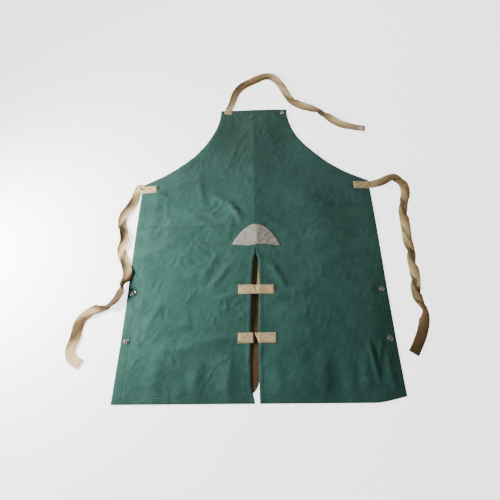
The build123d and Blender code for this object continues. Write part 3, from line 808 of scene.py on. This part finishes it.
def edge_steps(hem):
    """Distances in from an edge where the cloth's section changes."""
    return [0, 0.0007, 0.0018, hem * 0.5, hem - 0.0032, hem - 0.002, hem - 0.0008, hem, hem + 0.0016]


def section(distance, hem):
    """How far the front is sunk, and how thick the cloth is, at a distance from a hemmed edge."""
    rounded = 0.0009 * (1 - step(0, 0.0018, distance))
    groove = 0.00022 * np.exp(-((distance - hem + 0.002) / 0.0012) ** 2)
    fall = 0.00022 * step(hem - 0.0008, hem + 0.0012, distance)
    thick = np.where(distance <= hem, SHEET_TOP, CANVAS)
    return rounded + groove + fall, thick


def cloth_piece(name, xs, ys, from_side, from_end, end_hem, joined, from_split=None):
    """Part of the panel from a grid of places and each place's distances from its hemmed edges."""
    height = surface(xs, ys)
    sink_side, thick_side = section(from_side, SIDE_HEM)
    sink_end, thick_end = section(from_end, end_hem)
    sink = np.maximum(sink_side, sink_end)
    thick = np.maximum(thick_side, thick_end)
    if from_split is not None:
        sink_split, _ = section(from_split, SPLIT_HEM)
        raised = 0.0005 * (1 - step(SPLIT_HEM - 0.0006, SPLIT_HEM + 0.001, from_split))
        thick = np.maximum(thick, CANVAS + raised)
        sink = np.maximum(sink, sink_split) - raised
    fuzz = 0.00008 * ripple(xs, ys, 33, 0.012)
    top_z = height - sink + fuzz
    low_z = np.maximum(top_z - thick, 0.0)
    inside = thick < SHEET_TOP * 0.9
    low_z = np.where(inside, np.maximum(low_z, 0.0014), low_z)
    flat_x, flat_y = drawn_in(xs, ys)
    top = np.stack([flat_x, flat_y, top_z], 2)
    bottom = np.stack([flat_x, flat_y, np.minimum(low_z, top_z - 0.0005)], 2)
    uv = np.stack([xs, ys], 2)
    # Painted shade: dark lines along the cross crease and the centre crease, plus the painted shade patches
    painted_shade = np.exp(-((ys - CROSS_FOLD_Y) / 0.0026) ** 2) * (0.25 + 0.75 * step(0.02, -0.03, xs))
    painted_shade = np.maximum(painted_shade, 0.8 * np.exp(-(xs / 0.0022) ** 2) * step(0.0, 0.02, ys))
    for at_x, at_y, wide, tall, dark in PAINTED_SHADE_PATCHES:
        painted_shade = painted_shade + dark * np.exp(-((xs - at_x) / wide) ** 2 - ((ys - at_y) / tall) ** 2)
    piece = shell(name, top, bottom, 0.0005, uv, [GREEN, GREEN_BACK], {"painted_shade": painted_shade}, joined=joined)
    return piece


def slant(ys, width):
    """How much further a place is from the sloping edge along x than square to it."""
    slope = np.abs(np.gradient(width, ys))
    slope = np.convolve(np.pad(slope, 3, mode="edge"), np.ones(7) / 7, mode="valid")
    return np.minimum(np.sqrt(1 + slope ** 2), STEEPEST)


def make_bib():
    top_rows = [HALF_LENGTH - d for d in edge_steps(SIDE_HEM)][::-1]
    rows = list(np.linspace(FOLD_Y, WAIST_Y, int((WAIST_Y - FOLD_Y) / CELL) + 1))
    rows += list(np.linspace(WAIST_Y, top_rows[0], int((top_rows[0] - WAIST_Y) / CELL) + 1))[1:-1] + top_rows
    rows = np.array(rows)
    width = armhole_width(rows)
    stretch = slant(rows, width)
    steps = np.array(edge_steps(SIDE_HEM))
    inner = np.linspace(-1, 1, 2 * int(HALF_WIDTH / CELL) + 1)
    xs = []
    depths = []
    for w, s in zip(width, stretch):
        left = -w + steps * s
        body = inner[1:-1] * (w - steps[-1] * s)
        xs.append(np.concatenate([left, body, -left[::-1]]))
        depths.append(np.concatenate([steps, (w - np.abs(body)) / s, steps[::-1]]))
    xs = np.array(xs)
    ys = np.broadcast_to(rows[:, None], xs.shape)
    piece = cloth_piece("bib_canvas", xs, ys, np.array(depths), HALF_LENGTH - ys, SIDE_HEM, 0)
    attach(piece, "bib")
    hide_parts("bib_panel")


def make_leg(name, side):
    low_rows = [-HALF_LENGTH + d for d in edge_steps(BOTTOM_HEM)]
    count = int((FOLD_Y - low_rows[-1]) / CELL) + 1
    rows = np.array(low_rows + list(np.linspace(low_rows[-1], FOLD_Y, count))[1:])
    outer = np.array(edge_steps(SIDE_HEM))
    inner = np.array(edge_steps(SPLIT_HEM))
    share = np.linspace(0, 1, int(HALF_WIDTH / CELL) + 1)[1:-1]
    xs = []
    side_depth = []
    split_depth = []
    for gap in split_width(rows):
        near = gap + inner
        far = HALF_WIDTH - outer[::-1]
        body = near[-1] + (far[0] - near[-1]) * share
        across = np.concatenate([near, body, far])
        xs.append(across)
        side_depth.append(HALF_WIDTH - across)
        split_depth.append(across - gap)
    xs, side_depth, split_depth = np.array(xs) * side, np.array(side_depth), np.array(split_depth)
    if side < 0:
        xs, side_depth, split_depth = xs[:, ::-1], side_depth[:, ::-1], split_depth[:, ::-1]
    ys = np.broadcast_to(rows[:, None], xs.shape)
    piece = cloth_piece(f"{name}_leg_canvas", xs, ys, side_depth, ys + HALF_LENGTH, BOTTOM_HEM, -1,
                        split_depth)
    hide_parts(f"{name}_leg_panel")
    bend(piece)


def bend(piece):
    """Bakes the piece's transform into its mesh."""
    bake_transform(piece)


def make_hem_seams():
    inset = SIDE_HEM - SEAM_IN
    lift = 0.00005
    clear = 0.004
    top_y = HALF_LENGTH - inset
    beads = []
    for side in (-1, 1):
        ys = np.linspace(top_y, FOLD_Y + clear, 220)
        width = armhole_width(ys)
        beads += seam(list(zip(side * (width - inset * slant(ys, width)), ys)), lift)
    beads += seam([(-BIB_HALF + inset, top_y), (BIB_HALF - inset, top_y)], lift)
    bib = bead_mesh("bib_hem_stitches", beads, STITCH_R, GREEN_THREAD)
    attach(bib, "bib")
    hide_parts("bib_hem_stitching")
    for name, side in (("left", -1), ("right", 1)):
        bottom_y = -HALF_LENGTH + BOTTOM_HEM - SEAM_IN
        ys = np.linspace(FOLD_Y - clear, -HALF_LENGTH + 0.002, 100)
        near = SPLIT_HEM - SEAM_IN
        rows = [
            [(side * (HALF_WIDTH - inset), y) for y in (FOLD_Y - clear, -HALF_LENGTH + 0.002)],
            [(side * (SPLIT_HALF + 0.002), bottom_y), (side * (HALF_WIDTH - 0.002), bottom_y)],
            [(side * (float(split_width(y)) + near), y) for y in ys],
        ]
        beads = [bead for row in rows for bead in seam(row, lift)]
        stitches = bead_mesh(f"{name}_leg_hem_stitches", beads, STITCH_R, GREEN_THREAD)
        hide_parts(f"{name}_leg_hem_stitching")
        bend(stitches)


# The suede patch


def make_patch():
    half = PATCH_HIGH.x
    base = PATCH_LOW.y
    tall = PATCH_HIGH.y - PATCH_LOW.y
    across = np.sin(np.linspace(-1, 1, 61) * math.pi / 2)
    up = np.linspace(0, 1, 33)
    reach = 1 - np.abs(across) ** (2.15 + 0.3 * np.tanh(3 * across))
    xs = across[None, :] * half * np.ones((len(up), 1))
    ys = base + up[:, None] * (tall * reach[None, :] + 0.0008)
    ys = ys + 0.0022 * np.sin(across * math.pi * 1.5)[None, :] * (1 - up[:, None])
    below_crown = (1 - up[:, None]) * tall * reach[None, :]
    near_edge = np.minimum(np.minimum(ys - base, below_crown), half - np.abs(xs))
    puff = 0.0005 * step(0, 0.006, near_edge)
    height = surface(xs, ys)
    uv = np.stack([xs, ys], 2)
    top = np.stack([xs, ys, height + PATCH_THICK - 0.0005 + puff], 2)
    bottom = np.stack([xs, ys, height - 0.0002], 2)
    piece = shell("suede_patch", top, bottom, 0.0005, uv, [SUEDE])
    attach(piece, "bib")
    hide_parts("split_patch")
    inset = 0.0035
    crown = [(x * (half - 2.6 * inset), base + (tall * r - 1.5 * inset)) for x, r in zip(across, reach)]
    crown = [(x, y) for x, y in crown if y > base + inset]
    rows = [crown, [(crown[0][0], base + inset), (crown[-1][0], base + inset)]]
    beads = [bead for row in rows for bead in seam(row, PATCH_THICK - 0.00005)]
    stitches = bead_mesh("suede_patch_stitches", beads, 0.00032, GREY_THREAD)
    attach(stitches, "bib")
    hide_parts("split_patch_stitching")


# Sewn tape ends


def corners_of(node):
    """The corners of a node's box seen from above, from the low left one round."""
    low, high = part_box(node)
    return [(low.x, low.y), (high.x, low.y), (high.x, high.y), (low.x, high.y)]


def sewn_end(name, body, corners, shades, nodes, gap_drop=0.0, along_x=True):
    """A tape end sewn down flat: the corners run low-left, low-right, high-right, high-left."""
    (ax, ay), (bx, by), (cx, cy), (dx, dy) = corners
    s = np.linspace(0, 1, 25)[None, :]
    t = np.linspace(0, 1, 15)[:, None]
    xs = (ax * (1 - s) + bx * s) * (1 - t) + (dx * (1 - s) + cx * s) * t
    ys = (ay * (1 - s) + by * s) * (1 - t) + (dy * (1 - s) + cy * s) * t
    over = np.clip((SPLIT_HALF - np.abs(xs)) / SPLIT_HALF, 0, 1) if gap_drop else np.zeros_like(xs)
    held_x = np.where(over > 0, np.sign(ax + bx) * SPLIT_HALF, xs)
    height = surface(held_x, ys) - gap_drop * over ** 1.5
    from_ends = np.minimum(s, 1 - s) * np.hypot(bx - ax, by - ay)
    from_sides = np.minimum(t, 1 - t) * np.hypot(dx - ax, dy - ay)
    edge = np.minimum(from_ends, from_sides)
    quilt = 0.0003 * step(0.0015, 0.005, edge) + 0.00012 * ripple(xs, ys, 51, 0.009)
    rounded = 0.0004 * (1 - step(0, 0.0014, edge))
    top = np.stack([xs, ys, height + TAPE + quilt - rounded], 2)
    bottom = np.stack([xs, ys, height - 0.0001], 2)
    bottom[:, :, 2] = np.minimum(bottom[:, :, 2], top[:, :, 2] - 0.0005)
    across, along = (ys, xs) if along_x else (xs, ys)
    uv = np.stack([across, along], 2)
    # Painted shade, darker towards one end
    shade = np.broadcast_to(shades[0] * (1 - s) + shades[1] * s, xs.shape)
    piece = shell(name + "_sewn", top, bottom, 0.0003, uv, [CREAM, SHADED_TAPE_BACK], {"shade": shade})
    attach(piece, body)
    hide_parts(*nodes)


def box_stitches(name, body, node):
    """A sewn box with its two diagonals."""
    corners = corners_of(node)
    rows = [(corners[k], corners[(k + 1) % 4]) for k in range(4)]
    rows += [(corners[0], corners[2]), (corners[1], corners[3])]
    beads = [bead for row in rows for bead in seam(row, TAPE + 0.00036, pitch=0.0034, gap=0.0007)]
    stitches = bead_mesh(name + "_stitches", beads, BOX_STITCH_R, TAPE_THREAD)
    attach(stitches, body)
    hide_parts(node)


def make_sewn_ends():
    # Where each strap end's edge over the gap runs, at its low side and at its high side
    gap_edges = {"left_upper": (0.0062, -0.0086), "right_upper": (0.0067, -0.0081),
                 "left_lower": (-0.0088, -0.0092), "right_lower": (0.0055, -0.0055)}
    for name, (low_edge, high_edge) in gap_edges.items():
        body = name.split("_")[0] + "_leg"
        low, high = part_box(f"{name}_strap_end")
        if body == "left_leg":
            corners = [(low.x, low.y), (low_edge, low.y), (high_edge, high.y), (low.x, high.y)]
            shades = (0.12, 0.2)
        else:
            corners = [(low_edge, low.y), (high.x, low.y), (high.x, high.y), (high_edge, high.y)]
            shades = (0.3, 0.1)
        sewn_end(f"{name}_strap", body, corners, shades, [f"{name}_strap_end"], gap_drop=GAP_DROP)
        box_stitches(f"{name}_strap", body, f"{name}_strap_stitching")
    for side in ("left", "right"):
        name = f"{side}_waist_tie"
        sewn_end(name, "bib", corners_of(f"{name}_end"), (0.15, 0.15), [f"{name}_end"])
        box_stitches(name, "bib", f"{name}_stitching")
    corners = corners_of("neck_strap_end")
    sewn_end("neck_strap", "bib", corners, (0.15, 0.1), ["neck_strap_end"], along_x=False)
    box_stitches("neck_strap", "bib", "neck_strap_stitching")


def turned(name, profile, places, base, material):
    """Round pieces turned from one profile of (radius, height), standing at several places."""
    sides = 40
    turns = np.arange(sides) * 2 * math.pi / sides
    verts = []
    faces = []
    for at_x, at_y in places:
        start = len(verts)
        for r, height in profile:
            verts += [(at_x + r * math.cos(t), at_y + r * math.sin(t), base + height) for t in turns]
        for ring in range(len(profile) - 1):
            for k in range(sides):
                low = start + ring * sides
                after = (k + 1) % sides
                faces.append((low + after, low + k, low + sides + k, low + sides + after))
        faces.append(tuple(range(start, start + sides)))
        last = start + (len(profile) - 1) * sides
        faces.append(tuple(last + k for k in range(sides))[::-1])
    return solid(name, verts, faces, material)


def make_studs():
    """Snap studs: a rolled flange, a dished middle and a hollow knob."""
    profile = [
        (0.0006, 0.0019), (0.0014, 0.0020), (0.0018, 0.0026), (0.0019, 0.0035), (0.0022, 0.0039),
        (0.0026, 0.0040), (0.0030, 0.0037), (0.0031, 0.0032), (0.0029, 0.0025), (0.0026, 0.0019),
        (0.0026, 0.0012), (0.0031, 0.0007), (0.0042, 0.0005), (0.0055, 0.0007), (0.0062, 0.0012),
        (0.0068, 0.0014), (0.0073, 0.0011), (0.0075, 0.0006), (0.0073, 0.0001), (0.0066, 0.0000),
    ]
    for node in STUDS:
        places = middles(node, None if node == "neck_stud" else -0.25)
        studs = turned(node + "_turned", profile, places, SHEET_TOP, NICKEL)
        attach(studs, "bib" if node == "neck_stud" else node.replace("_studs", ""))
        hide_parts(node)


def plate_metal():
    """Nickel on every fastener that the frame already shapes."""
    for name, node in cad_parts.items():
        if "stud" in name or name.endswith(("_cap", "_socket")):
            node.data.materials.clear()
            node.data.materials.append(NICKEL)
            node.data.polygons.foreach_set("use_smooth", np.ones(len(node.data.polygons), bool))


# Floor and light


def make_stage():
    mesh = bpy.data.meshes.new("floor")
    corners = [(x * FLOOR_HALF, y * FLOOR_HALF, FLOOR_Z) for x, y in ((-1, -1), (1, -1), (1, 1), (-1, 1))]
    mesh.from_pydata(corners, [], [(0, 1, 2, 3)])
    floor = link(bpy.data.objects.new("floor", mesh))
    material, nodes, links, shader = tree("pale_floor")
    shader.inputs["Base Color"].default_value = (0.93, 0.93, 0.93, 1)
    shader.inputs["Roughness"].default_value = 0.9
    shader.inputs["Emission Color"].default_value = (1.0, 1.0, 1.0, 1)
    shader.inputs["Emission Strength"].default_value = 2.4
    mesh.materials.append(material)


def area_light(name, place, target, size, power, colour):
    data = bpy.data.lights.new(name, "AREA")
    data.shape = "DISK"
    data.size = size
    data.energy = power
    data.color = colour
    lamp = link(bpy.data.objects.new(name, data))
    lamp.location = place
    aim = np.array(target, float) - np.array(place, float)
    flat = math.hypot(aim[0], aim[1])
    lamp.rotation_euler = (math.atan2(flat, -aim[2]), 0, math.atan2(aim[1], aim[0]) - math.pi / 2)


def make_light():
    world = bpy.data.worlds.new("studio")
    bpy.context.scene.world = world
    world.use_nodes = True
    nodes = world.node_tree.nodes
    links = world.node_tree.links
    background = nodes["Background"]
    background.inputs["Strength"].default_value = 1.0
    coords = nodes.new("ShaderNodeTexCoord")
    split = nodes.new("ShaderNodeSeparateXYZ")
    links.new(coords.outputs["Generated"], split.inputs["Vector"])
    sky = [(0.0, (1.6, 1.6, 1.6)), (0.06, (1.1, 1.1, 1.1)), (0.22, (0.17, 0.172, 0.176))]
    links.new(ramp(nodes, links, split.outputs["Z"], sky), background.inputs["Color"])
    area_light("window", (-0.92, -0.10, 0.38), (-0.1, -0.05, 0), 0.28, 25, (1.0, 0.99, 0.97))
    area_light("far_softbox", (0.25, 1.35, 1.05), (0.1, 0, 0), 1.2, 6, (1.0, 1.0, 1.0))


make_camera()
make_neck_strap()
free_tape("left_waist_tie", "bib", LEFT_TIE_ROUTE, LEFT_TIE_ROLL, LEFT_TIE_SHADE, ["left_waist_tie"],
          seed=6, skew=-0.020)
free_tape("right_waist_tie", "bib", RIGHT_TIE_ROUTE, RIGHT_TIE_ROLL, RIGHT_TIE_SHADE, ["right_waist_tie"],
          seed=11, skew=0.024)
make_leg_straps()
make_bib()
make_leg("left", -1)
make_leg("right", 1)
make_hem_seams()
make_patch()
make_sewn_ends()
make_studs()
plate_metal()
make_stage()
make_light()
